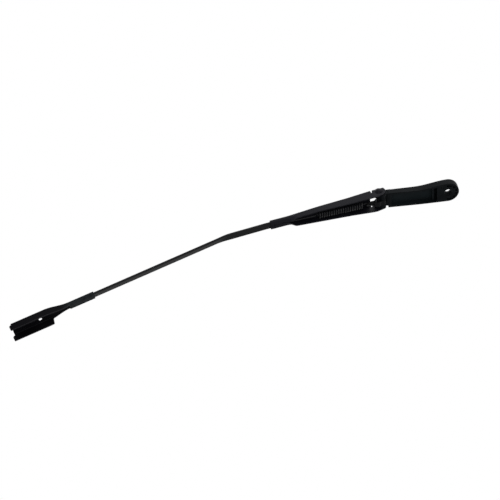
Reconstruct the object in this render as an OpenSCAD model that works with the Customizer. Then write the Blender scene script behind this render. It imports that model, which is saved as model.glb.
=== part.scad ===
// Car windscreen wiper arm, complete and unmounted, in its free state.
// The origin is on the spindle axis, in the plane on which the nut seats in the head.
// +Z points away from the glass and +X from the spindle towards the blade end.

/* [Spindle seat] */
// Diameter of the plain land round the spindle thread
spindle_land_d = 8.4; // [7.5:0.1:9]
// Height of the plain land
spindle_land_h = 3.2; // [2.6:0.1:3.4]
// Diameter of the taper at its mouth
spindle_mouth_d = 11; // [10.6:0.1:11.6]
// Height of the taper
spindle_taper_h = 5.2; // [4.6:0.1:5.6]
// Taper of the seat per side, in degrees
spindle_taper_angle = 7; // [5:0.5:9]
// Diameter of the pocket for the nut
nut_pocket_d = 20; // [18:0.5:21]

/* [Head] */
// Height of the head above the boss face
head_h = 12.4; // [12:0.1:13]
// Radius of the round end about the spindle
head_end_r = 14.3; // [13.5:0.1:15.5]
// Distance from the spindle to the hinge
pivot_x = 89.5; // [84:0.5:96]
// Half width at the waist on the hollowed side
head_waist = 9.9; // [9.4:0.1:11]
// Distance from the spindle to the waist
head_waist_x = 40; // [34:1:46]
// Half width at the shoulder on the hollowed side
head_shoulder = 10.9; // [10.5:0.1:12]
// Rise of the underside from the boss to the shoulder
head_rise = 2.5; // [2:0.1:3.5]
// Radius of the rounded top edge
head_edge_r = 3.5; // [2.6:0.1:4.2]
// Thickness of the side walls
head_wall = 2.2; // [1.8:0.1:2.6]
// Thickness of the top wall
head_roof = 3; // [2.6:0.1:3.4]
// Chamfer round the underside of the head
foot_chamfer = 0.5; // [0.3:0.1:0.8]
// Diameter of the boss round the spindle seat
boss_d = 18; // [17:0.5:19]
// Distance from the spindle to the end of the boss block
block_end = 14.6; // [14:0.2:16]
// Distance from the spindle to the front end of the pocket behind the boss
pocket_end = 2; // [1:0.5:3]
// Depth of the ring shaped pocket behind the boss
pocket_depth = 2.5; // [2:0.5:5]
// Thickness of the ribs
rib_t = 1.6; // [1.2:0.1:2]
// Number of ribs round the half circle behind the boss
boss_ribs = 5; // [3:1:7]
// Width of the slot between the boss block and the cross rib
slot_w = 3.4; // [3:0.2:5]
// Thickness of the cross rib
cross_rib_t = 2.2; // [1.6:0.2:2.6]
// Height of the cross rib's edge above the boss face
cross_rib_h = 3; // [2.6:0.2:4]
// Thickness of the wall that closes the hollow at the fork
hollow_wall = 3.4; // [3:0.2:5]
// Diameter of the ejector mark on the boss face
mark_d = 4.4; // [3.6:0.2:4.8]
// Diameter of the pip in the middle of the ejector mark
pip_d = 1.8; // [1.4:0.1:2.2]
// Depth of the ejector mark
mark_h = 0.6; // [0.4:0.1:0.8]

/* [Hinge] */
// Depth of the hinge axis below the outer face of the retainer
pivot_depth = 6; // [5.8:0.1:6.6]
// Diameter of the rivet's shank
rivet_d = 6; // [5.4:0.1:6.4]
// Diameter of the rivet's domed head
rivet_head_d = 11; // [9.5:0.5:12]
// Height of the rivet's domed head
rivet_head_h = 2.7; // [2:0.1:3]
// Diameter of the upset end of the rivet
rivet_tail_d = 9; // [8.5:0.5:11]
// Height of the upset end of the rivet
rivet_tail_h = 1.6; // [1.2:0.1:2]
// Running clearance of the hinge and the hook, on the radius
run_gap = 0.05; // [0.03:0.01:0.09]
// Wall of the bushes
bush_wall = 1; // [0.8:0.1:1.2]
// Diameter of the flange of the bushes
bush_flange_d = 11; // [10:0.5:11.5]
// Thickness of the flange of the bushes
bush_flange_t = 0.9; // [0.7:0.1:1]
// Side play between a bush and an ear
side_gap = 0.1; // [0.05:0.05:0.2]
// Thickness of a cheek of the fork
cheek_t = 6; // [5.4:0.1:6.4]
// Step from the head down to the top of the fork
fork_step = 0.7; // [0.4:0.1:1]
// Length of the fork's root inside the head
fork_root = 4; // [3:0.5:6]
// Metal left round the bushes at the nose
nose_wall = 1.8; // [1.5:0.1:2]
// Height of the retainer's outer face above the head at the hinge
web_lift = 1.6; // [1:0.1:2.6]
// Angle by which the arm hangs below the head in the free state
free_drop = 9.8; // [6:0.2:12]

/* [Spring linkage] */
// Distance from the hinge to the pin that holds the link
pin_reach = 7.5; // [7.3:0.1:8]
// Direction from the hinge to that pin, in degrees from the blade end
pin_angle = 235; // [230:1:240]
// Diameter of that pin
pin_d = 4; // [3.6:0.1:4.2]
// Metal left round that pin in the cheeks
pin_wall = 2; // [1.6:0.1:2.2]
// Thickness of the link
link_t = 2; // [1.8:0.1:2.1]
// Side play between the link and a cheek of the fork
link_play = 0.9; // [0.6:0.1:1.2]
// Distance from the pin to the eye of the link
link_l = 18; // [17:0.5:20]
// Clearance between the link and the rivet when the arm is folded
link_clear = 0.6; // [0.4:0.1:1]
// Diameter of the spring wire
wire_d = 1.7; // [1.5:0.1:1.9]
// Outer diameter of the coil
coil_d = 9; // [8.6:0.1:10]
// Distance between the turns of the coil
coil_pitch = 3.1; // [2.6:0.1:3.4]
// Number of turns of the coil
coil_turns = 19; // [17:0.5:20]
// Distance from the eye of the link to its end
link_end = 3.6; // [3.2:0.1:4]
// Radius of the spring's hook in the link
hook_loop_r = 2.7; // [2.6:0.1:3]
// Radius of the spring's bend into the bar
anchor_bend_r = 1.6; // [1.4:0.1:2]
// Distance from the link's eye to the coil
coil_start = 9.6; // [8:0.1:11]
// Distance from the hinge to the spring's hole in the bar
anchor_x = 120; // [116:1:121]

/* [Retainer] */
// Thickness of the retainer's sheet
sheet_t = 1.5; // [1.2:0.1:1.6]
// Width over the ears
ear_w = 25; // [24:0.1:26]
// Reach of the ears behind the hinge
ear_reach = 8.8; // [8.4:0.1:9.6]
// Height of the flanges at the hinge
flange_h = 16.2; // [15:0.1:17]
// Distance from the hinge to the rear edge of the web
web_start = 10; // [9:0.2:11]
// Distance from the hinge to the end of the wide part
wide_end = 40; // [36:1:44]
// Width at the end of the wide part
wide_end_w = 21; // [20:0.1:22]
// Distance from the hinge to the end of the open channel
open_end = 83; // [80:1:86]
// Width at the end of the open channel
open_end_w = 17.9; // [17:0.1:19]
// Height of the flanges at the end of the open channel
open_end_h = 10.7; // [10:0.1:11.5]
// Distance from the hinge to the start of the closed neck
neck_start = 126; // [124:1:128]
// Distance from the hinge to the end of the closed neck
neck_end = 146; // [143:1:150]
// Outer radius of the folds
fold_r = 2.3; // [2.1:0.1:2.6]
// Gap between the folded edges under the neck
seam_w = 0.8; // [0.6:0.1:1.4]
// Length over which the flanges close under the bar
closing_l = 14; // [12:1:18]
// Diameter of the punch of the staking dents under the neck
dent_d = 5; // [4:0.5:6]
// Depth of the staking dents
dent_h = 0.9; // [0.6:0.1:1.2]

/* [Bar] */
// Width of the bar
bar_w = 9.3; // [8.8:0.1:9.6]
// Thickness of the bar
bar_t = 3; // [2.8:0.1:3.2]
// Radius of the bar's edges
bar_edge_r = 1.1; // [0.8:0.1:1.3]
// Clearance between the bar and the sheets folded round it
fold_gap = 0.05; // [0.03:0.01:0.1]
// Distance from the spring's hole to the bar's inner end
bar_end_wall = 4.4; // [3.6:0.2:5]
// Downward bend where the bar leaves the neck, in degrees
exit_bend = 2; // [0:0.5:6]
// Length of that bend
exit_bend_l = 8; // [6:0.5:10]
// Distance from the hinge to the main bend
bend_x = 209; // [202:1:216]
// Downward part of the main bend, in degrees
bend_down = 4; // [1:0.5:8]
// Sideways part of the main bend, in degrees
bend_side = 6.6; // [3:0.2:9]
// Twist of the bar at the main bend, in degrees
bend_twist = -18.5; // [-26:0.5:-10]
// Length of the main bend
bend_l = 22; // [18:1:26]
// Length of the straight outer part of the bar up to the sleeve
outer_l = 168; // [160:1:178]

/* [Blade bracket] */
// Thickness of the bracket's sheet
bracket_t = 1.2; // [1:0.1:1.4]
// Length of the sleeve round the bar
sleeve_l = 33; // [30:1:35]
// Distance from the sleeve's inner end to the step, where the channel starts
channel_x = 56.7; // [54:0.1:60]
// Length of the channel
channel_l = 55.6; // [52:0.1:60]
// Width of the channel
channel_w = 19.8; // [19:0.1:21]
// Height of the channel's flanges
channel_h = 12.4; // [11:0.1:13]
// Height of the low rim between the sleeve and the stepped flange
rim_h = 3.4; // [3:0.1:5]
// Roll of the channel against the bar, in degrees
channel_roll = 18.5; // [12:0.5:26]
// Reach of the flanges past the end of the channel's web
tab_l = 3; // [2:0.1:4]
// Radius at the root of these tabs, towards the web
tab_root_r = 3; // [2:0.1:3.4]
// Depth of the root of these tabs below the web's outer face
tab_root_h = 6.4; // [5.6:0.1:7]
// Distance from the channel's end to the hole in its web
hole_back = 39.5; // [38:0.5:42]
// Distance of the hole from the middle of the web, towards the side of the step
hole_side = 3.2; // [0:0.1:4]
// Diameter of the hole
hole_d = 4.4; // [4:0.1:5]
// Length by which the web goes on widening in the channel
flare_past = 7.8; // [6:0.1:9]
// Length over which the stepped flange reaches its height
step_l = 2.6; // [1.6:0.1:3.4]
// Length over which the sleeve's lips end and the channel opens
lip_cut_l = 1.2; // [0.8:0.1:2]
// Radius of the flanges' lower corners at the blade end
tab_r = 1; // [0.6:0.1:2]
// Outer radius of the bracket's folds
bracket_r = 2; // [1.8:0.1:2.2]
// Height of the beads pressed into the web
bead_h = 0.5; // [0.3:0.1:0.6]
// Width of these beads
bead_w = 3; // [2.6:0.1:3.4]
// Distance from the channel's end to the far end of the long bead
long_bead_back = 33; // [31:0.5:34]
// Length of the long bead
long_bead_l = 11; // [9:0.5:13]
// Distance from the channel's end to the nearer of the two cross beads
cross_bead_back = 13; // [12:0.5:15]
// Length of the cross beads
cross_bead_l = 8; // [6:0.5:9]

/* [Hidden] */
$fn = 64;
eps = 0.01;
// Margin by which a cut runs past the faces that it opens
cut = 1;
roof_past = 1;
slot_room = 1;
fold_steps = 4;
bend_steps = 11;
hinge_h = head_h + web_lift - pivot_depth;
ear_in = ear_w / 2 - sheet_t;
cheek_out = ear_in - side_gap - bush_flange_t;
cheek_in = cheek_out - cheek_t;
link_w = 2 * (cheek_in - link_play);
bush_r = rivet_d / 2 + run_gap + bush_wall;
nose_r = bush_r + nose_wall;
shoulder_gap = 2.8;
nose_leave = -35;
lobe_leave = 150;
shoulder_x = pivot_x - ear_reach - shoulder_gap;
seat_z = spindle_taper_h + spindle_land_h;
roof_z = head_h - head_roof;
head_steps = 12;
hollow_steps = 8;
pin_lobe_r = pin_d / 2 + pin_wall;
pin_pos = [pivot_x + pin_reach * cos(pin_angle), hinge_h + pin_reach * sin(pin_angle)];
hook_r = pin_d / 2 + run_gap;
hook_end_a = 100;
wire_r = wire_d / 2;
coil_r = (coil_d - wire_d) / 2;
// Hinge frame: origin on the hinge, turned down with the arm
pin_local = pin_reach * [cos(pin_angle + free_drop), sin(pin_angle + free_drop)];
bar_mid_z = pivot_depth - sheet_t - fold_gap - bar_t / 2;
shank_gap = 0.15;
shank_z = bar_mid_z - bar_t / 2 - wire_r - shank_gap;
link_slope = atan2(shank_z - pin_local[1], anchor_x - pin_local[0]);
spring_l = norm([anchor_x, shank_z] - pin_local);
coil_u = link_l + coil_start;
coil_len = coil_turns * coil_pitch;
coil_end_a = 360 * coil_turns;
eye_d = wire_d + 1.3;
wire_sides = 6;
coil_seg = 12;
loop_run = 0.4;
lead_pull = 2.6;
front_run = 5;
tip_short = 0.4;
neck_w = bar_w + 2 * (sheet_t + fold_gap);
neck_h = bar_t + 2 * (sheet_t + fold_gap);
sleeve_w = bar_w + 2 * (bracket_t + fold_gap);
sleeve_h = bar_t + 2 * (bracket_t + fold_gap);
web_z = sleeve_h / 2;
bead_r = bead_w / 2;
bead_sides = 24;

// Smooth step from 0 to 1 between a and b
function ramp(x, a, b) = let (t = min(1, max(0, (x - a) / (b - a)))) t * t * (3 - 2 * t);
function mix(a, b, t) = a + (b - a) * t;
// Value of the table rows [x, v] at x, straight between the rows
function along(rows, x) =
    x <= rows[0][0] ? rows[0][1] :
    let (i = [for (k = [1:len(rows) - 1]) if (x <= rows[k][0]) k])
    len(i) == 0 ? rows[len(rows) - 1][1] :
    let (k = i[0], a = rows[k - 1], b = rows[k])
    mix(a[1], b[1], (x - a[0]) / (b[0] - a[0]));
// The n places after a that divide the way to b evenly
function evenly(a, b, n) = [for (i = [1:n]) mix(a, b, i / n)];
// Vector turned by roll, pitch and yaw, as rotate() turns it
function turn(v, a) =
    let (x1 = v[0], y1 = v[1] * cos(a[0]) - v[2] * sin(a[0]), z1 = v[1] * sin(a[0]) + v[2] * cos(a[0]))
    let (x2 = x1 * cos(a[1]) + z1 * sin(a[1]), z2 = z1 * cos(a[1]) - x1 * sin(a[1]))
    [x2 * cos(a[2]) - y1 * sin(a[2]), x2 * sin(a[2]) + y1 * cos(a[2]), z2];

// Solid through rings that have the same number of points, clockwise as seen from its last ring.
// The end faces are strips between the first and the second half of the ring.
module loft(rings) {
    n = len(rings[0]);
    last = (len(rings) - 1) * n;
    sides = [for (j = [0:n:last - n], i = [0:n - 1])
        let (a = j + i, b = j + (i + 1) % n)
        each [[a, b, b + n], [a, b + n, a + n]]];
    cap = [for (j = [0:ceil(n / 2) - 2])
        let (k = n - 1 - j)
        each concat([[j, j + 1, k]], j + 1 < k - 1 ? [[j + 1, k - 1, k]] : [])];
    polyhedron(
        points = [for (r = rings) each r],
        faces = concat([for (f = cap) [f[2], f[1], f[0]]], sides, [for (f = cap) [for (i = f) i + last]]),
        convexity = 10);
}

// Straight piece of a folded section, then a fold of length l in short steps
function straight(l) = [[l, 0]];
function fold(l, angle) = [for (i = [1:fold_steps]) [l / fold_steps, angle / fold_steps]];
function quarter(r, t) = (r - t / 2) * PI / 2;
// Points and headings along a folded section, heading 0 is +Y and 90 is down
function folded(steps, z) =
    [for (i = 0, p = [0, z], h = 0; i <= len(steps);
          h2 = i < len(steps) ? steps[i][1] : 0,
          l = i < len(steps) ? steps[i][0] : 0,
          p = p + l * [cos(h + h2 / 2), -sin(h + h2 / 2)],
          h = h + h2,
          i = i + 1) [p, h]];
// One face of a folded sheet, at the distance d outside its middle
function sheet_face(steps, z, t, d) =
    [for (q = folded(steps, z - t / 2)) q[0] + d * [sin(q[1]), cos(q[1])]];
function mirrored(face) = [for (i = [1:len(face) - 1]) [-face[i][0], face[i][1]]];
function backwards(v) = [for (i = [len(v) - 1:-1:0]) v[i]];
// Ring of a sheet folded to both sides of its web, seen along X
function sheet_ring(left, right, z, t) = concat(
    backwards(mirrored(sheet_face(right, z, t, t / 2))), sheet_face(left, z, t, t / 2),
    backwards(sheet_face(left, z, t, -t / 2)), mirrored(sheet_face(right, z, t, -t / 2)));
// Steps of a channel: web, upper fold, flange, lower fold of length lip_fold turned by lip_angle, lip
function channel_steps(half, r, t, flange, lip_fold, lip_angle, lip) =
    concat(straight(half - r), fold(quarter(r, t), 90), straight(flange),
           fold(lip_fold, lip_angle), straight(lip));

// Head: outline inset by d, with the round end about the spindle
function head_half(x, side) =
    side < 0 ? mix(head_end_r, ear_w / 2, x / shoulder_x) :
    x < head_waist_x ? mix(head_end_r, head_waist, ramp(x, 0, head_waist_x)) :
    mix(head_waist, head_shoulder, ramp(x, head_waist_x, shoulder_x));
function head_outline(d) = concat(
    [for (i = [head_steps:-1:1]) let (x = shoulder_x * i / head_steps) [x, -head_half(x, -1) + d]],
    [for (a = [270:-10:90]) (head_end_r - d) * [cos(a), sin(a)]],
    [for (i = [1:head_steps]) let (x = shoulder_x * i / head_steps) [x, head_half(x, 1) - d]]);
function head_ring(d, z) = [for (p = head_outline(d)) [p[0], p[1], z]];

module head_body() {
    rings = concat(
        [head_ring(foot_chamfer, 0), head_ring(0, 1.6 * foot_chamfer)],
        [for (a = [0:15:90]) head_ring(head_edge_r * (1 - cos(a)), head_h - head_edge_r * (1 - sin(a)))]);
    loft(rings);
}

// The head and what it carries are drawn from the face of its boss upwards
module from_boss() {
    translate([0, 0, -seat_z]) children();
}

// Side view of one cheek of the fork, with the nose and the lobe for the pin
module cheek_profile() {
    root_x = shoulder_x - fork_root;
    top = head_h - fork_step;
    translate([pivot_x, hinge_h]) circle(r = nose_r);
    translate(pin_pos) circle(r = pin_lobe_r);
    polygon([
        [root_x, top], [pivot_x + roof_past, top], [pivot_x + roof_past, hinge_h],
        [pivot_x + nose_r * cos(nose_leave), hinge_h + nose_r * sin(nose_leave)],
        [pin_pos[0] + pin_lobe_r * cos(nose_leave), pin_pos[1] + pin_lobe_r * sin(nose_leave)],
        [pin_pos[0], pin_pos[1]],
        [pin_pos[0] + pin_lobe_r * cos(lobe_leave), pin_pos[1] + pin_lobe_r * sin(lobe_leave)],
        [shoulder_x, head_rise + fork_step], [root_x, head_rise + fork_step]]);
}

module along_y(half) {
    rotate([90, 0, 0]) translate([0, 0, -half]) linear_extrude(2 * half) children();
}

module fork() {
    difference() {
        along_y(cheek_out) cheek_profile();
        // Slot between the cheeks, open below and at the front, under a short roof
        translate([pin_pos[0] - hook_r - link_t - slot_room, -cheek_in, -head_h])
            cube([pivot_x, 2 * cheek_in, head_h + roof_z + slot_room]);
        // The roof ends just past the hinge
        translate([pivot_x + roof_past, -cheek_in, 0])
            cube([2 * nose_r, 2 * cheek_in, 2 * head_h]);
    }
}

// Space under the roof of the head, kept clear of the boss block and the shoulder
module head_hollow() {
    places = concat([block_end], evenly(block_end, shoulder_x - hollow_wall, hollow_steps));
    translate([0, 0, -cut]) linear_extrude(roof_z + cut)
        polygon(concat(
            [for (x = backwards(places)) [x, head_wall - head_half(x, -1)]],
            [for (x = places) [x, head_half(x, 1) - head_wall]]));
}

// Round ejector mark beside the spindle, with a pip in its middle
module ejector_mark() {
    translate([block_end / 2, boss_d / 2, -cut]) difference() {
        cylinder(d = mark_d, h = mark_h + cut);
        cylinder(d = pip_d, h = mark_h + 2 * cut);
    }
}

// Ring shaped pocket between the boss and the outer wall, behind the spindle
module boss_pocket() {
    difference() {
        translate([0, 0, -cut]) cylinder(r = head_end_r - head_wall, h = pocket_depth + cut);
        translate([0, 0, -seat_z]) cylinder(d = boss_d, h = 2 * seat_z);
        translate([pocket_end, -head_end_r, -seat_z]) cube([head_end_r, 2 * head_end_r, 2 * seat_z]);
        for (i = [1:boss_ribs])
            rotate(90 + 180 * i / (boss_ribs + 1))
                translate([0, -rib_t / 2, -seat_z]) cube([head_end_r, rib_t, 2 * seat_z]);
    }
}

module head() {
    color([0.12, 0.13, 0.14]) from_boss() difference() {
        union() {
            difference() {
                head_body();
                // Underside rises towards the shoulder
                along_y(head_end_r + cut)
                    polygon([
                        [block_end, -cut], [block_end, 0],
                        [shoulder_x + cut, head_rise], [shoulder_x + cut, -cut]]);
                difference() {
                    head_hollow();
                    // Cross rib beside the boss block
                    translate([block_end + slot_w, -head_end_r, cross_rib_h])
                        cube([cross_rib_t, 2 * head_end_r, head_h]);
                }
                boss_pocket();
                ejector_mark();
            }
            fork();
        }
        // Spindle seat: taper, land and nut pocket
        translate([0, 0, -eps]) cylinder(
            d1 = spindle_mouth_d, d2 = spindle_mouth_d - 2 * spindle_taper_h * tan(spindle_taper_angle),
            h = spindle_taper_h + eps);
        translate([0, 0, -cut]) cylinder(d = spindle_land_d, h = head_h + 2 * cut);
        translate([0, 0, seat_z]) cylinder(d = nut_pocket_d, h = head_h);
        // Seats of the bushes and of the spring pin
        translate([pivot_x, ear_w, hinge_h]) rotate([90, 0, 0])
            cylinder(r = bush_r, h = 2 * ear_w);
        translate([pin_pos[0], ear_w, pin_pos[1]]) rotate([90, 0, 0]) cylinder(d = pin_d, h = 2 * ear_w);
    }
}

module bush(side) {
    color([0.2, 0.2, 0.21])
    from_boss() translate([pivot_x, 0, hinge_h]) rotate([side * -90, 0, 0]) difference() {
        union() {
            translate([0, 0, cheek_in]) cylinder(r = bush_r, h = cheek_t);
            translate([0, 0, cheek_out]) cylinder(d = bush_flange_d, h = bush_flange_t);
        }
        translate([0, 0, cheek_in - cut]) cylinder(r = rivet_d / 2 + run_gap, h = ear_w);
    }
}
module bush_left() { bush(1); }
module bush_right() { bush(-1); }

module spring_pin() {
    color([0.45, 0.46, 0.48])
    from_boss() translate([pin_pos[0], cheek_out, pin_pos[1]]) rotate([90, 0, 0])
        cylinder(d = pin_d, h = 2 * cheek_out);
}

// Everything on the folding part is drawn in the hinge frame
module on_arm() {
    from_boss() translate([pivot_x, 0, hinge_h]) rotate([0, free_drop, 0]) children();
}

module pivot_rivet() {
    dome_r = (pow(rivet_head_d / 2, 2) + pow(rivet_head_h, 2)) / (2 * rivet_head_h);
    color([0.14, 0.14, 0.15]) on_arm() rotate([-90, 0, 0]) {
        translate([0, 0, -ear_w / 2 - rivet_tail_h / 2])
            cylinder(d = rivet_d, h = ear_w + (rivet_tail_h + rivet_head_h) / 2);
        translate([0, 0, ear_w / 2]) intersection() {
            translate([0, 0, rivet_head_h - dome_r]) sphere(r = dome_r);
            cylinder(d = rivet_head_d, h = rivet_head_h);
        }
        translate([0, 0, -ear_w / 2 - rivet_tail_h])
            cylinder(d1 = rivet_tail_d - rivet_tail_h, d2 = rivet_tail_d, h = rivet_tail_h);
    }
}

// Link in the frame of its pin: u runs to the eye, the strip bows down round the rivet when folded
module link_profile() {
    bow_r = rivet_d / 2 + link_clear;
    bow_u = pin_reach;
    outer_r = hook_r + link_t;
    // The straight pieces run a little way into the rings that they join
    lap = link_t / 4;
    difference() {
        union() {
            intersection() {
                circle(r = outer_r);
                polygon(2 * outer_r * [
                    [0, 0], [cos(hook_end_a), sin(hook_end_a)], [-1, 1], [-1, -1], [0, -1]]);
            }
            intersection() {
                translate([bow_u, 0]) circle(r = bow_r + link_t);
                translate([0, -3 * bow_r]) square([bow_u + 2 * bow_r, 3 * bow_r]);
            }
            translate([0, -outer_r]) square([bow_u - bow_r + 2 * lap, link_t]);
            translate([bow_u + bow_r - lap, -link_t / 2])
                square([link_l + link_end - bow_u - bow_r + lap, link_t]);
        }
        circle(r = hook_r);
        translate([bow_u, 0]) circle(r = bow_r);
        translate([bow_u - bow_r, 0]) square([2 * bow_r - lap, bow_r]);
        translate([0, eps - hook_r]) square([bow_u, hook_r]);
    }
}

module spring_link() {
    end_u = link_l + link_end;
    color([0.3, 0.31, 0.33]) on_arm() translate([pin_local[0], 0, pin_local[1]]) rotate([0, -link_slope, 0])
    difference() {
        intersection() {
            along_y(link_w / 2) link_profile();
            // Rounded end in the plan view
            translate([0, 0, -ear_w]) linear_extrude(2 * ear_w) union() {
                translate([-ear_w, -link_w / 2]) square([ear_w + end_u - link_w / 2, link_w]);
                translate([end_u - link_w / 2, 0]) circle(d = link_w);
            }
        }
        translate([link_l, 0, -link_t]) cylinder(d = eye_d, h = 2 * link_t, $fn = 32);
    }
}

// Wire of the spring, along u from the link's eye to the hole in the bar
function bezier(a, b, c, d, t) =
    pow(1 - t, 3) * a + 3 * t * pow(1 - t, 2) * b + 3 * t * t * (1 - t) * c + pow(t, 3) * d;
function helix(a) = [coil_u + coil_pitch * a / 360, coil_r * sin(a), coil_r * cos(a)];
rear_mid = [link_l + hook_loop_r, 0, 0];
rear_hook = [for (a = [-50:-20:-260]) rear_mid + hook_loop_r * [cos(a), 0, sin(a)]];
rear_end = rear_mid + [loop_run, 0, hook_loop_r];
front_start = [coil_u + coil_len + front_run, 0, 0];
lead_steps = [for (i = [1:5]) i / 6];
lead_in = [for (t = lead_steps) bezier(rear_end, rear_end + [lead_pull, 0, 0],
    helix(0) - [loop_run, lead_pull, 0], helix(0), t)];
lead_out = [for (t = lead_steps) bezier(helix(coil_end_a),
    helix(coil_end_a) + [loop_run, lead_pull * cos(coil_end_a), -lead_pull * sin(coil_end_a)],
    front_start - [lead_pull, 0, 0], front_start, t)];
front_hook = [for (a = [0:18:90])
    [spring_l - anchor_bend_r + anchor_bend_r * sin(a), 0, anchor_bend_r * (1 - cos(a))]];
front_tip = [[spring_l, 0, wire_r + shank_gap + bar_t - tip_short]];
wire_path = concat(rear_hook, [rear_end], lead_in,
    [for (i = [0:coil_turns * coil_seg]) helix(360 * i / coil_seg)], lead_out, [front_start],
    front_hook, front_tip);
function unit(v) = v / norm(v);
function across(v, t) = unit(v - (v * t) * t);
function tangent(p, i) = unit(p[min(i + 1, len(p) - 1)] - p[max(i - 1, 0)]);
// The frame is carried along the wire, so that the rings do not twist
wire_rings = [for (i = 0, u = across([0, 1, 0], tangent(wire_path, 0)); i < len(wire_path);
    i = i + 1, u = across(u, tangent(wire_path, min(i, len(wire_path) - 1))))
    let (t = tangent(wire_path, i), v = cross(t, u))
    [for (k = [0:wire_sides - 1]) wire_path[i] + wire_r *
        (cos(360 * k / wire_sides) * u - sin(360 * k / wire_sides) * v)]];

module tension_spring() {
    color([0.22, 0.22, 0.23]) on_arm() translate([pin_local[0], 0, pin_local[1]]) rotate([0, -link_slope, 0])
        loft(wire_rings);
}

// Retainer: width and depth follow straight tapers, then the flanges turn in under the bar
closing_x = neck_start - closing_l;
neck_lead = 4;
narrow_x = neck_start - neck_lead;
lip_l = neck_w / 2 - fold_r - seam_w / 2;
lip_fold_l = quarter(fold_r, sheet_t);
neck_flange = neck_h - 2 * fold_r;
function retainer_half(x) = along([[0, ear_w / 2], [web_start, ear_w / 2], [wide_end, wide_end_w / 2],
    [open_end, open_end_w / 2], [narrow_x, neck_w / 2], [neck_end, neck_w / 2]], x);
function retainer_flange(x) = along([
    [0, flange_h - fold_r - lip_fold_l - lip_l], [open_end, open_end_h - fold_r - lip_fold_l - lip_l],
    [narrow_x, neck_flange], [neck_end, neck_flange]], x);
function retainer_ring(x) =
    let (side = channel_steps(retainer_half(x), fold_r, sheet_t, retainer_flange(x), lip_fold_l,
        90 * ramp(x, closing_x, neck_start), lip_l))
    [for (p = sheet_ring(side, side, pivot_depth, sheet_t)) [x, p[0], p[1]]];

module ear_profile() {
    top = pivot_depth + cut;
    low = pivot_depth - flange_h - cut;
    translate([web_start, low]) square([neck_end, top - low]);
    intersection() {
        circle(r = ear_reach);
        translate([-ear_reach, -ear_reach]) square([2 * ear_reach, ear_reach + top]);
    }
    polygon([[0, 0], [0, eps - ear_reach], [web_start + cut, low], [web_start + cut, 0]]);
}

module retainer() {
    stations = concat(
        [-ear_reach - cut, 0, web_start], evenly(web_start, wide_end, 2), evenly(wide_end, open_end, 3),
        evenly(open_end, closing_x, 2), evenly(closing_x, neck_start, 6), [neck_end]);
    color([0.1, 0.105, 0.115]) on_arm() difference() {
        intersection() {
            loft([for (x = stations) retainer_ring(x)]);
            along_y(ear_w) ear_profile();
        }
        // No web between the ears
        translate([-ear_w, -ear_in + eps, pivot_depth - 2 * fold_r])
            cube([ear_w + web_start, 2 * (ear_in - eps), 3 * fold_r]);
        rotate([90, 0, 0]) translate([0, 0, -ear_w]) cylinder(d = rivet_d, h = 2 * ear_w);
        // Staking dents that lock the neck to the bar
        for (x = [neck_start + dent_d / 2, neck_end - dent_d])
            translate([x, 0, pivot_depth - neck_h - dent_d / 2 + dent_h]) sphere(d = dent_d, $fn = 32);
    }
}

// Bar: turned at the neck and at the main bend, drawn in the hinge frame
bar_in = anchor_x - bar_end_wall;
exit_x = neck_end + 1;
bar_out = bend_x + bend_l / 2 + outer_l + sleeve_l;
function bar_angles(x) = let (k = ramp(x, bend_x - bend_l / 2, bend_x + bend_l / 2))
    [bend_twist * k, exit_bend * ramp(x, exit_x, exit_x + exit_bend_l) + bend_down * k, -bend_side * k];
bar_stations = concat([bar_in, neck_end], [for (i = [0:4]) exit_x + exit_bend_l * i / 4],
    [for (i = [0:bend_steps]) bend_x + bend_l * (i / bend_steps - 0.5)], [bar_out]);
bar_path = [for (i = 0, p = [bar_in, 0, bar_mid_z]; i < len(bar_stations); i = i + 1,
    p = p + (i < len(bar_stations) ? turn([bar_stations[i] - bar_stations[i - 1], 0, 0],
        bar_angles((bar_stations[i] + bar_stations[i - 1]) / 2)) : [0, 0, 0])) p];
function bar_section() = [for (c = [[1, -1, 270], [-1, -1, 180], [-1, 1, 90], [1, 1, 0]], a = [90:-30:0])
    [c[0] * (bar_w / 2 - bar_edge_r) + bar_edge_r * cos(a + c[2]),
     c[1] * (bar_t / 2 - bar_edge_r) + bar_edge_r * sin(a + c[2])]];

module arm_bar() {
    rings = [for (i = [0:len(bar_stations) - 1])
        [for (q = bar_section()) bar_path[i] + turn([0, q[0], q[1]], bar_angles(bar_stations[i]))]];
    color([0.11, 0.115, 0.125]) on_arm() difference() {
        loft(rings);
        translate([anchor_x, 0, bar_mid_z - bar_t]) cylinder(d = eye_d, h = 2 * bar_t, $fn = 32);
    }
}

// Frame of the blade bracket: origin on the bar's axis at the inner end of the sleeve
module on_bar_end() {
    last = len(bar_path) - 1;
    on_arm() translate(bar_path[last]) rotate(bar_angles(bar_out)) translate([-sleeve_l, 0, 0]) children();
}

flare_end = channel_x + flare_past;
bracket_end = channel_x + channel_l;
opened_x = sleeve_l + lip_cut_l;
// Height of a flange that its rounded lower corner leaves out at x
function tab_drop(x) =
    let (d = max(0, x - bracket_end + tab_r)) tab_r - sqrt(pow(tab_r, 2) - pow(d, 2));
// Heights of the flange with the step and of the one that deepens evenly
function stepped_height(x) = mix(rim_h, channel_h, ramp(x, channel_x, channel_x + step_l)) - tab_drop(x);
function even_height(x) = mix(sleeve_h, channel_h,
    min(1, max(0, (x - opened_x) / (channel_x + step_l + lip_cut_l - opened_x)))) - tab_drop(x);
function bracket_half(x) = mix(sleeve_w, channel_w, ramp(x, sleeve_l, flare_end)) / 2;
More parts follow.
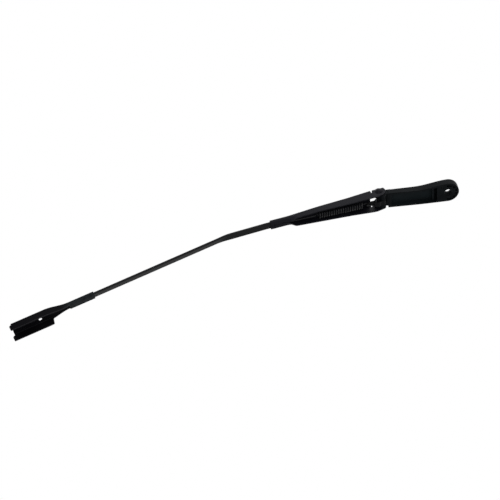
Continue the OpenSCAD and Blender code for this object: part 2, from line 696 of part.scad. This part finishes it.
// Closed side of the sleeve, and open side of the channel with a flange of height h
function closed_side(x) = channel_steps(bracket_half(x), bracket_r, bracket_t, sleeve_h - 2 * bracket_r,
    quarter(bracket_r, bracket_t), 90, sleeve_w / 2 - bracket_r - seam_w / 2);
function open_side(x, h) =
    let (piece = (h - bracket_r) / 3)
    channel_steps(bracket_half(x), bracket_r, bracket_t, piece, piece, 0, piece);
function bracket_ring(x) =
    let (closed = x <= sleeve_l,
         even = closed ? closed_side(x) : open_side(x, even_height(x)),
         stepped = closed ? closed_side(x) : open_side(x, stepped_height(x)))
    [for (p = sheet_ring(even, stepped, web_z, bracket_t))
        turn([x, p[0], p[1]], [channel_roll * ramp(x, sleeve_l, flare_end), 0, 0])];

// Frame of the channel: turned against the sleeve
module on_channel() {
    rotate([channel_roll, 0, 0]) children();
}

// Rod of radius bead_r with round ends, from the origin along X
module bead(l) {
    translate([bead_r, 0, 0]) rotate([0, 90, 0]) cylinder(r = bead_r, h = l - bead_w, $fn = bead_sides);
    for (x = [bead_r, l - bead_r])
        translate([x, 0, 0]) sphere(r = bead_r, $fn = bead_sides);
}

// The long bead and the two cross beads, with their axes at the height z
module web_beads(z) {
    translate([bracket_end - long_bead_back, -hole_side / 2, z]) bead(long_bead_l);
    for (back = [cross_bead_back, cross_bead_back + 1.5 * bead_w])
        translate([bracket_end - back, -cross_bead_l, z]) rotate(90) bead(cross_bead_l);
}

module blade_bracket() {
    stations = concat(
        [0, sleeve_l, opened_x], evenly(opened_x, channel_x, 7), evenly(channel_x, channel_x + step_l, 4),
        [flare_end, bracket_end - tab_r], [for (a = [30, 55, 75]) bracket_end - tab_r * (1 - sin(a))]);
    web_end = bracket_end - tab_l;
    root_z = web_z - tab_root_h;
    color([0.09, 0.09, 0.1]) on_bar_end() difference() {
        union() {
            loft([for (x = stations) bracket_ring(x)]);
            on_channel() intersection() {
                web_beads(web_z - bracket_t - bead_h + bead_r);
                translate([0, -channel_w / 2, web_z - channel_h])
                    cube([bracket_end, channel_w, channel_h - bracket_t / 2]);
            }
        }
        on_channel() {
            web_beads(web_z - bead_h + bead_r);
            // The web and its folds end short of the flanges, with a radius at the root of each tab
            difference() {
                translate([web_end, -channel_w, root_z]) cube([2 * tab_l, 2 * channel_w, channel_h]);
                translate([web_end, channel_w + 1, root_z]) rotate([90, 0, 0])
                    cylinder(r = tab_root_r, h = 2 * channel_w + 2);
            }
            translate([bracket_end - hole_back, -hole_side, -channel_h])
                cylinder(d = hole_d, h = 2 * channel_h);
        }
    }
}

head();
bush_left();
bush_right();
spring_pin();
pivot_rivet();
spring_link();
tension_spring();
retainer();
arm_bar();
blade_bracket();
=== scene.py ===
"""Looks of a windscreen wiper arm, seen from below against plain white."""
import math

import bpy
from mathutils import Matrix, Vector


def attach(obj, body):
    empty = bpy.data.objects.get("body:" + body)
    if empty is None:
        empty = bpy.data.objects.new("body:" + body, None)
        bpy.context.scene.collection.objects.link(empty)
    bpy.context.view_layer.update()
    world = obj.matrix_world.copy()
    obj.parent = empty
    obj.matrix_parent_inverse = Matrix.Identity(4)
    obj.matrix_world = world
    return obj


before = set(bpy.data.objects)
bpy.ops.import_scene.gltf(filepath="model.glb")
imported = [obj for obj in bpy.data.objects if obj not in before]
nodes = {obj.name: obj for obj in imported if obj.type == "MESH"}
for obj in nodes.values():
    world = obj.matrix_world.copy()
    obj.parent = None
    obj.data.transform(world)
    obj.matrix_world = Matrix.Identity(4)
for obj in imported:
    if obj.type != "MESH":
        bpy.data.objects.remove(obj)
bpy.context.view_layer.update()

MM = 0.001

# The photograph's view: where the camera stands round the aim point, and where that point shows
IMAGE_PX = 500
AIM_POINT = Vector((0.300, 0.0, -0.015))
AIM_SHOWS_AT_PX = (218.42, 228.70)
VIEW_AZIMUTH = 85.1
VIEW_ELEVATION = -48.96
VIEW_ROLL = -11.84
VIEW_DISTANCE = 2.1515
FOCAL_PX = 1687.9
SENSOR_MM = 36.0
CLIP_RANGE = (0.01, 50)

# Floor and sky
FLOOR_Z = -2.2
FLOOR_SIZE = 14.0
FLOOR_COLOUR = (0.80, 0.80, 0.80)
FLOOR_ROUGHNESS = 0.9
WORLD_LIGHT = 0.7

# Soft lamps: the eye lamp is placed from the camera's axes, the others in the arm's own frame
LIT_POINT = Vector((0.30, 0.0, -0.02))
HINGE_POINT = Vector((0.15, 0.0, 0.0))
EYE_LAMP_BACK = 1.9
EYE_LAMP_UP = 0.35
EYE_LAMP_RIGHT = 0.2
EYE_LAMP_SIZE = 0.7
EYE_LAMP_WATTS = 7
HINGE_SIDE_LAMP_PLACE = Vector((-0.35, 0.95, 0.75))
HINGE_SIDE_LAMP_SIZE = 0.8
HINGE_SIDE_LAMP_WATTS = 4.5
TOP_LAMP_OFFSET = Vector((0.1, -0.4, 1.6))
TOP_LAMP_SIZE = 1.2
TOP_LAMP_WATTS = 10

# Tapered bore of the head, and the ridges on its wall that bite into the spindle
BORE_MOUTH_RADIUS = 5.5 * MM
BORE_MOUTH_Z = -8.4 * MM
BORE_TAPER_HEIGHT = 5.2 * MM
BORE_TAPER_ANGLE = math.radians(7)
RIDGE_COUNT = 40
RIDGE_SIDES = 3
RIDGE_RISE = 0.4 * MM
RIDGE_RADIUS = 0.6 * MM
RIDGE_LENGTH = 4.8 * MM

# Inside of the head's hollow, which gets painted light, and the end of the crimped sleeve
HOLLOW_X = (0.0185, 0.0210, 0.0735, 0.0755)
HOLLOW_Y = (-0.0125, -0.0105, 0.0075, 0.0085)
HOLLOW_Z = (-0.0068, -0.0050, 0.0015, 0.0025)
SLEEVE_END_X = (0.4975, 0.5095)

BEVEL_SAMPLES = 6


class Value:
    """A socket of a material's tree. Python operators on it add Math nodes."""

    def __init__(self, finish, socket):
        self.finish = finish
        self.socket = socket

    def _math(self, operation, *terms):
        inputs = {place: term for place, term in enumerate(terms)}
        return self.finish.add("ShaderNodeMath", {"operation": operation}, inputs)

    def __add__(self, other):
        return self._math("ADD", self, other)

    def __radd__(self, other):
        return self._math("ADD", other, self)

    def __sub__(self, other):
        return self._math("SUBTRACT", self, other)

    def __rsub__(self, other):
        return self._math("SUBTRACT", other, self)

    def __mul__(self, other):
        return self._math("MULTIPLY", self, other)

    def __rmul__(self, other):
        return self._math("MULTIPLY", other, self)

    def between(self, low, high):
        """0 at low and 1 at high, clamped."""
        inputs = {"Value": self, "From Min": low, "From Max": high}
        return self.finish.add("ShaderNodeMapRange", {"clamp": True}, inputs)

    def within(self, stations):
        """Rises over the first two of four stations, falls over the last two."""
        return self.between(stations[0], stations[1]) * (1.0 - self.between(stations[2], stations[3]))


class Finish:
    """A procedural material. Every node of it comes from add()."""

    def __init__(self, name):
        self.material = bpy.data.materials.new(name)
        self.material.use_nodes = True
        self.tree = self.material.node_tree
        self.tree.nodes.clear()
        self.place = self.add("ShaderNodeTexCoord", output="Object")

    def add(self, kind, settings=None, inputs=None, output=0):
        """Adds a node, sets it up, links or sets its inputs, and returns one of its outputs."""
        node = self.tree.nodes.new(kind)
        for key, value in (settings or {}).items():
            setattr(node, key, value)
        for key, value in (inputs or {}).items():
            socket = node.inputs[key]
            if isinstance(value, Value):
                self.tree.links.new(value.socket, socket)
            else:
                socket.default_value = value
        return Value(self, node.outputs[output]) if len(node.outputs) else None

    def noise(self, size, detail=3.0, stretch=(1, 1, 1), roughness=0.5):
        """Cloudy pattern with features of about that size, in metres."""
        place = self.add("ShaderNodeMapping", inputs={"Vector": self.place, "Scale": stretch})
        inputs = {"Vector": place, "Scale": 1.0 / size, "Detail": detail, "Roughness": roughness}
        return self.add("ShaderNodeTexNoise", {"noise_dimensions": "3D"}, inputs)

    def along(self, axis):
        """The object's own coordinate on that axis, in metres."""
        return self.add("ShaderNodeSeparateXYZ", inputs={"Vector": self.place}, output=axis)

    def mix(self, amount, first, second):
        """Colour between first and second."""
        inputs = {0: amount}
        for key, value in ((6, first), (7, second)):
            inputs[key] = (*value, 1.0) if isinstance(value, tuple) else value
        return self.add("ShaderNodeMix", {"data_type": "RGBA"}, inputs, output=2)

    def rounded(self, radius):
        """Normal of the surface with its edges rounded by that radius."""
        return self.add("ShaderNodeBevel", {"samples": BEVEL_SAMPLES}, {"Radius": radius})

    def edge(self, radius, sharpness):
        """1 where the surface turns within that radius, 0 where it is flat."""
        plain = self.add("ShaderNodeNewGeometry", output="Normal")
        inputs = {0: self.rounded(radius), 1: plain}
        turn = self.add("ShaderNodeVectorMath", {"operation": "DOT_PRODUCT"}, inputs, output="Value")
        return ((1.0 - turn) * sharpness).between(0.0, 1.0)

    def bump(self, height, distance, strength, rounding):
        """Normal with that height pattern, over edges that are softened by a small rounding."""
        return self.add("ShaderNodeBump", inputs={
            "Height": height, "Distance": distance, "Strength": strength, "Normal": self.rounded(rounding)})

    def surface(self, colour, roughness, normal, specular, metallic=0.0):
        """Closes the material with one glossy surface."""
        shader = self.add("ShaderNodeBsdfPrincipled", inputs={
            "Base Color": colour, "Roughness": roughness, "Metallic": metallic,
            "Specular IOR Level": specular, "Normal": normal})
        self.add("ShaderNodeOutputMaterial", inputs={"Surface": shader})
        return self.material


def satin_coat(finish, colour, worn, roughness, specular, pale_edge_width=0.7 * MM):
    """Black electro-coat on sheet or bar: orange peel, cloudy sheen, dust specks, edges paler: rubbed wear,
    and on the end piece also a painted highlight along its lit edges.
    """
    peel = finish.noise(1.2 * MM, detail=2.0)
    cloud = finish.noise(45 * MM, detail=2.0)
    dust = finish.noise(2.1 * MM, detail=4.0, roughness=0.65)
    speck = finish.noise(1.1 * MM, detail=2.0, roughness=0.8).between(0.70, 0.78)
    # Paler edges: rubbed wear, and on the end piece also a painted highlight along its lit edges.
    rubbed = finish.edge(pale_edge_width, 2.4) * (0.35 + 0.65 * cloud)
    tone = finish.mix(cloud.between(0.3, 0.75) * 0.07, colour, worn)
    tone = finish.mix(speck * 0.35, tone, worn)
    tone = finish.mix(rubbed, tone, worn)
    gloss = roughness + 0.10 * (cloud - 0.5) + 0.10 * (dust - 0.5) - 0.05 * rubbed
    return finish.surface(tone, gloss, finish.bump(peel, 0.02 * MM, 1.0, 0.3 * MM), specular)


def sheet_coat(name):
    """Coat of the folded retainer: faintly violet black."""
    black = (0.0062, 0.0063, 0.0092)
    worn = (0.030, 0.030, 0.037)
    return satin_coat(Finish(name), black, worn, 0.40, 0.072)


def bar_coat(name):
    """Coat of the flat bar: the plainest and glossiest black of the arm."""
    black = (0.0058, 0.0060, 0.0066)
    worn = (0.036, 0.038, 0.041)
    return satin_coat(Finish(name), black, worn, 0.42, 0.125)


def bracket_coat(name):
    """Coat of the end piece: deep black on the channel, grey and blotchy on the sleeve crimped on the bar."""
    finish = Finish(name)
    blotch = finish.noise(9 * MM, detail=3.0, roughness=0.6)
    # Grey, blotchy tone on the sleeve, deep black on the channel beyond it.
    crimped = 1.0 - (finish.along("X") + 0.010 * (blotch - 0.5)).between(*SLEEVE_END_X)
    bare = finish.mix(blotch.between(0.35, 0.68), (0.0065, 0.0080, 0.0090), (0.0200, 0.0240, 0.0260))
    colour = finish.mix(crimped, (0.0028, 0.0026, 0.0036), bare)
    # The pale worn colour, spread over 1.3 mm of the edges, paints a highlight along the end piece's lit
    # edges, over rubbed wear.
    worn = (0.085, 0.083, 0.092)
    return satin_coat(finish, colour, worn, 0.44, 0.016, 1.3 * MM)


def cast_coat(name):
    """Coat of the die casting: grainy skin with shallow flow marks, and painted light in the hollow: a paler
    greenish tone that lifts its shade.
    """
    finish = Finish(name)
    grain = finish.noise(0.7 * MM, detail=4.0, roughness=0.6)
    flow = finish.noise(11 * MM, detail=3.0, stretch=(0.5, 1.2, 1.2))
    blotch = finish.noise(3.2 * MM, detail=3.0, roughness=0.65)
    hollow = (finish.along("X").within(HOLLOW_X) * finish.along("Y").within(HOLLOW_Y)
              * finish.along("Z").within(HOLLOW_Z))
    rubbed = finish.edge(0.9 * MM, 2.2) * flow
    tone = finish.mix(flow.between(0.35, 0.7), (0.0034, 0.0042, 0.0050), (0.0052, 0.0066, 0.0078))
    tone = finish.mix(blotch.between(0.52, 0.75) * 0.5, tone, (0.0080, 0.0095, 0.0105))
    # Painted light: the hollow is lifted to a paler greenish tone against its shade.
    tone = finish.mix(hollow * (0.55 + 0.6 * flow), tone, (0.0115, 0.0155, 0.0175))
    tone = finish.mix(rubbed, tone, (0.030, 0.033, 0.036))
    gloss = 0.46 + 0.14 * (grain - 0.5) + 0.08 * (flow - 0.5)
    height = grain * 0.6 + flow * 0.9 + blotch * 0.5
    return finish.surface(tone, gloss, finish.bump(height, 0.08 * MM, 0.9, 0.4 * MM), 0.040)


def dark_steel(name, colour, bright, roughness, line_size, metallic, specular):
    """Oiled or phosphated steel, drawn or rolled, with rubbed spots."""
    finish = Finish(name)
    lines = finish.noise(line_size, detail=3.0, stretch=(0.15, 1.0, 1.0))
    spots = finish.noise(1.6 * MM, detail=4.0, roughness=0.7)
    # Paler at edges and in spots: rubbed wear, and on the link strip also a painted glint.
    rubbed = finish.edge(0.4 * MM, 2.5) * 0.6 + spots.between(0.62, 0.8) * 0.25
    tone = finish.mix(rubbed, colour, bright)
    gloss = roughness + 0.12 * (lines - 0.5) + 0.10 * (spots - 0.5)
    normal = finish.bump(lines, 0.03 * MM, 0.8, 0.15 * MM)
    return finish.surface(tone, gloss, normal, specular, metallic)


def moulded_plastic(name):
    """Fine matt black plastic with a faint moulding grain."""
    finish = Finish(name)
    grain = finish.noise(0.4 * MM, detail=2.0)
    cloud = finish.noise(6 * MM, detail=2.0)
    tone = finish.mix(cloud, (0.008, 0.008, 0.009), (0.011, 0.011, 0.012))
    gloss = 0.5 + 0.1 * (grain - 0.5)
    return finish.surface(tone, gloss, finish.bump(grain, 0.03 * MM, 0.6, 0.2 * MM), 0.3)


def ground_pin_steel(name):
    """Bare ground steel of the pin that the link hooks round."""
    return dark_steel(name, (0.016, 0.016, 0.017), (0.07, 0.07, 0.074), 0.42, 0.6 * MM, 0.4, 0.3)


def rivet_steel(name):
    """Coated steel of the hinge rivet."""
    return dark_steel(name, (0.0052, 0.0048, 0.0070), (0.030, 0.029, 0.036), 0.40, 0.8 * MM, 0.1, 0.09)


def link_steel(name):
    """Phosphated strip of the link, pale and yellowish at its edges: a painted glint over rubbed wear."""
    return dark_steel(name, (0.0052, 0.0052, 0.0058), (0.075, 0.073, 0.062), 0.40, 0.9 * MM, 0.0, 0.06)


def spring_wire(name):
    """Coated wire of the tension spring."""
    return dark_steel(name, (0.0085, 0.0087, 0.0100), (0.050, 0.050, 0.055), 0.40, 0.7 * MM, 0.3, 0.34)


FINISHES = {
    "head": cast_coat("cast_head_coat"),
    "retainer": sheet_coat("folded_sheet_coat"),
    "arm_bar": bar_coat("bar_coat"),
    "blade_bracket": bracket_coat("bracket_coat"),
    "bush_left": moulded_plastic("bush_plastic_left"),
    "bush_right": moulded_plastic("bush_plastic_right"),
    "spring_pin": ground_pin_steel("ground_pin_steel"),
    "pivot_rivet": rivet_steel("coated_rivet_steel"),
    "spring_link": link_steel("link_strip_steel"),
    "tension_spring": spring_wire("spring_wire_coat"),
}


def dress_nodes():
    """Gives every CAD node its finish."""
    for node_name, material in FINISHES.items():
        for slot in nodes[node_name].material_slots:
            slot.material = material


class Recipe:
    """A Geometry Nodes tree with named inputs."""

    def __init__(self, name, sizes):
        self.tree = bpy.data.node_groups.new(name, "GeometryNodeTree")
        self.open_socket("Geometry", "INPUT", "NodeSocketGeometry")
        self.values = {}
        for label, (kind, value) in sizes.items():
            self.values[self.open_socket(label, "INPUT", kind)] = value
        self.open_socket("Geometry", "OUTPUT", "NodeSocketGeometry")
        self.given = self.tree.nodes.new("NodeGroupInput")

    def open_socket(self, label, direction, kind):
        """Opens one input or output of the recipe and returns its identifier."""
        return self.tree.interface.new_socket(label, in_out=direction, socket_type=kind).identifier

    def size(self, label):
        """The recipe's input of that name."""
        return self.given.outputs[label]

    def add(self, kind, settings=None, inputs=None):
        """Adds a node, sets it up, links or sets its inputs, and returns its first output."""
        node = self.tree.nodes.new(kind)
        for key, value in (settings or {}).items():
            setattr(node, key, value)
        for key, value in (inputs or {}).items():
            if isinstance(value, bpy.types.NodeSocket):
                self.tree.links.new(value, node.inputs[key])
            else:
                node.inputs[key].default_value = value
        return node.outputs[0] if len(node.outputs) else None

    def make(self, name, body):
        """Runs the recipe and keeps its result as a plain mesh that rides on a body."""
        blank = bpy.data.meshes.new(name + "_blank")
        holder = bpy.data.objects.new(name + "_blank", blank)
        bpy.context.collection.objects.link(holder)
        modifier = holder.modifiers.new(name, "NODES")
        modifier.node_group = self.tree
        for identifier, value in self.values.items():
            modifier[identifier] = value
        evaluated = holder.evaluated_get(bpy.context.evaluated_depsgraph_get())
        mesh = bpy.data.meshes.new_from_object(evaluated)
        mesh.name = name
        holder.modifiers.remove(modifier)
        bpy.data.objects.remove(holder)
        bpy.data.meshes.remove(blank)
        piece = bpy.data.objects.new(name, mesh)
        bpy.context.collection.objects.link(piece)
        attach(piece, body)


def cut_serrations():
    """Ring of fine ridges on the wall of the tapered bore, which key the head to its spindle."""
    middle_radius = BORE_MOUTH_RADIUS - BORE_TAPER_HEIGHT / 2 * math.tan(BORE_TAPER_ANGLE)
    middle_z = BORE_MOUTH_Z + BORE_TAPER_HEIGHT / 2
    recipe = Recipe("bore_serrations", {
        "ridge_count": ("NodeSocketInt", RIDGE_COUNT),
        "ridge_radius": ("NodeSocketFloat", RIDGE_RADIUS),
        "ridge_length": ("NodeSocketFloat", RIDGE_LENGTH),
        "place": ("NodeSocketVector", (middle_radius + RIDGE_RADIUS - RIDGE_RISE, 0.0, middle_z)),
        "lean": ("NodeSocketVector", (0.0, -BORE_TAPER_ANGLE, 0.0)),
        "finish": ("NodeSocketMaterial", FINISHES["head"]),
    })
    ridge = recipe.add("GeometryNodeMeshCylinder", {"fill_type": "TRIANGLE_FAN"}, {
        "Vertices": RIDGE_SIDES, "Radius": recipe.size("ridge_radius"), "Depth": recipe.size("ridge_length")})
    inward = recipe.add("GeometryNodeTransform", inputs={"Geometry": ridge, "Rotation": (0.0, 0.0, math.pi)})
    placed = recipe.add("GeometryNodeTransform", inputs={
        "Geometry": inward, "Translation": recipe.size("place"), "Rotation": recipe.size("lean")})
    points = recipe.add("GeometryNodePoints", inputs={"Count": recipe.size("ridge_count")})
    step = recipe.add("ShaderNodeMath", {"operation": "DIVIDE"}, {0: math.tau, 1: recipe.size("ridge_count")})
    index = recipe.add("GeometryNodeInputIndex")
    angle = recipe.add("ShaderNodeMath", {"operation": "MULTIPLY"}, {0: index, 1: step})
    turned = recipe.add("ShaderNodeCombineXYZ", inputs={"Z": angle})
    ring = recipe.add("GeometryNodeInstanceOnPoints", inputs={
        "Points": points, "Instance": placed, "Rotation": turned})
    real = recipe.add("GeometryNodeRealizeInstances", inputs={"Geometry": ring})
    finished = recipe.add("GeometryNodeSetMaterial", inputs={
        "Geometry": real, "Material": recipe.size("finish")})
    recipe.add("NodeGroupOutput", inputs={"Geometry": finished})
    recipe.make("bore_serrations", "head")


def view_axes():
    """The camera's right, up and back directions."""
    azimuth, elevation, roll = (math.radians(a) for a in (VIEW_AZIMUTH, VIEW_ELEVATION, VIEW_ROLL))
    level = math.cos(elevation)
    back = Vector((level * math.cos(azimuth), level * math.sin(azimuth), math.sin(elevation)))
    flat = Vector((0, 0, 1)).cross(back).normalized()
    tall = back.cross(flat)
    right = math.cos(roll) * flat + math.sin(roll) * tall
    up = math.cos(roll) * tall - math.sin(roll) * flat
    return right, up, back


def place_camera(right, up, back):
    """Camera at the photograph's angle, moved sideways so that the aim point shows where it does there."""
    per_px = VIEW_DISTANCE / FOCAL_PX
    middle = IMAGE_PX / 2
    place = (AIM_POINT + back * VIEW_DISTANCE - right * (AIM_SHOWS_AT_PX[0] - middle) * per_px
             + up * (AIM_SHOWS_AT_PX[1] - middle) * per_px)
    data = bpy.data.cameras.new("photo_view")
    data.sensor_width = SENSOR_MM
    data.lens = FOCAL_PX * SENSOR_MM / IMAGE_PX
    data.clip_start, data.clip_end = CLIP_RANGE
    camera = bpy.data.objects.new("photo_view", data)
    turn = Matrix((right, up, back)).transposed().to_4x4()
    camera.matrix_world = Matrix.Translation(place) @ turn
    bpy.context.collection.objects.link(camera)
    bpy.context.scene.camera = camera


def area_lamp(name, place, aim, size, watts):
    """A square soft lamp that points at aim."""
    data = bpy.data.lights.new(name, "AREA")
    data.size = size
    data.energy = watts
    lamp = bpy.data.objects.new(name, data)
    lamp.location = place
    lamp.rotation_euler = (aim - place).to_track_quat("-Z", "Y").to_euler()
    bpy.context.collection.objects.link(lamp)


def hang_lamps(right, up, back):
    """One lamp near the eye, one on the hinge's side and a broad one above."""
    eye_place = LIT_POINT + back * EYE_LAMP_BACK + up * EYE_LAMP_UP + right * EYE_LAMP_RIGHT
    area_lamp("eye_lamp", eye_place, LIT_POINT, EYE_LAMP_SIZE, EYE_LAMP_WATTS)
    area_lamp("hinge_side_lamp", HINGE_SIDE_LAMP_PLACE, HINGE_POINT, HINGE_SIDE_LAMP_SIZE,
              HINGE_SIDE_LAMP_WATTS)
    area_lamp("top_lamp", LIT_POINT + TOP_LAMP_OFFSET, LIT_POINT, TOP_LAMP_SIZE, TOP_LAMP_WATTS)


def seen_rays(tree):
    """1 for the rays that show a surface or the sky to the camera, in a mirror or through glass."""
    path = tree.nodes.new("ShaderNodeLightPath")
    total = path.outputs["Is Camera Ray"]
    for ray in ("Is Glossy Ray", "Is Transmission Ray"):
        either = tree.nodes.new("ShaderNodeMath")
        either.operation = "MAXIMUM"
        tree.links.new(total, either.inputs[0])
        tree.links.new(path.outputs[ray], either.inputs[1])
        total = either.outputs[0]
    return total


def light_world():
    """White sky for the eye and for gloss, a softer one as light."""
    world = bpy.data.worlds.new("white_sky")
    world.use_nodes = True
    tree = world.node_tree
    background = tree.nodes["Background"]
    background.inputs["Color"].default_value = (1.0, 1.0, 1.0, 1.0)
    level = tree.nodes.new("ShaderNodeMapRange")
    level.inputs["To Min"].default_value = WORLD_LIGHT
    level.inputs["To Max"].default_value = 1.0
    tree.links.new(seen_rays(tree), level.inputs["Value"])
    tree.links.new(level.outputs[0], background.inputs["Strength"])
    bpy.context.scene.world = world


def lay_floor():
    """Plain pale floor far below, because the photograph looks up at the arm's underside."""
    half = FLOOR_SIZE / 2
    corners = [(-half, -half, FLOOR_Z), (half, -half, FLOOR_Z), (half, half, FLOOR_Z), (-half, half, FLOOR_Z)]
    mesh = bpy.data.meshes.new("floor")
    mesh.from_pydata(corners, [], [(0, 1, 2, 3)])
    floor = bpy.data.objects.new("floor", mesh)
    bpy.context.collection.objects.link(floor)
    material = bpy.data.materials.new("floor_paint")
    material.use_nodes = True
    shader = material.node_tree.nodes["Principled BSDF"]
    shader.inputs["Base Color"].default_value = (*FLOOR_COLOUR, 1.0)
    shader.inputs["Roughness"].default_value = FLOOR_ROUGHNESS
    mesh.materials.append(material)


dress_nodes()
cut_serrations()
axes = view_axes()
place_camera(*axes)
light_world()
lay_floor()
hang_lamps(*axes)
bpy.context.scene.view_settings.view_transform = "Standard"
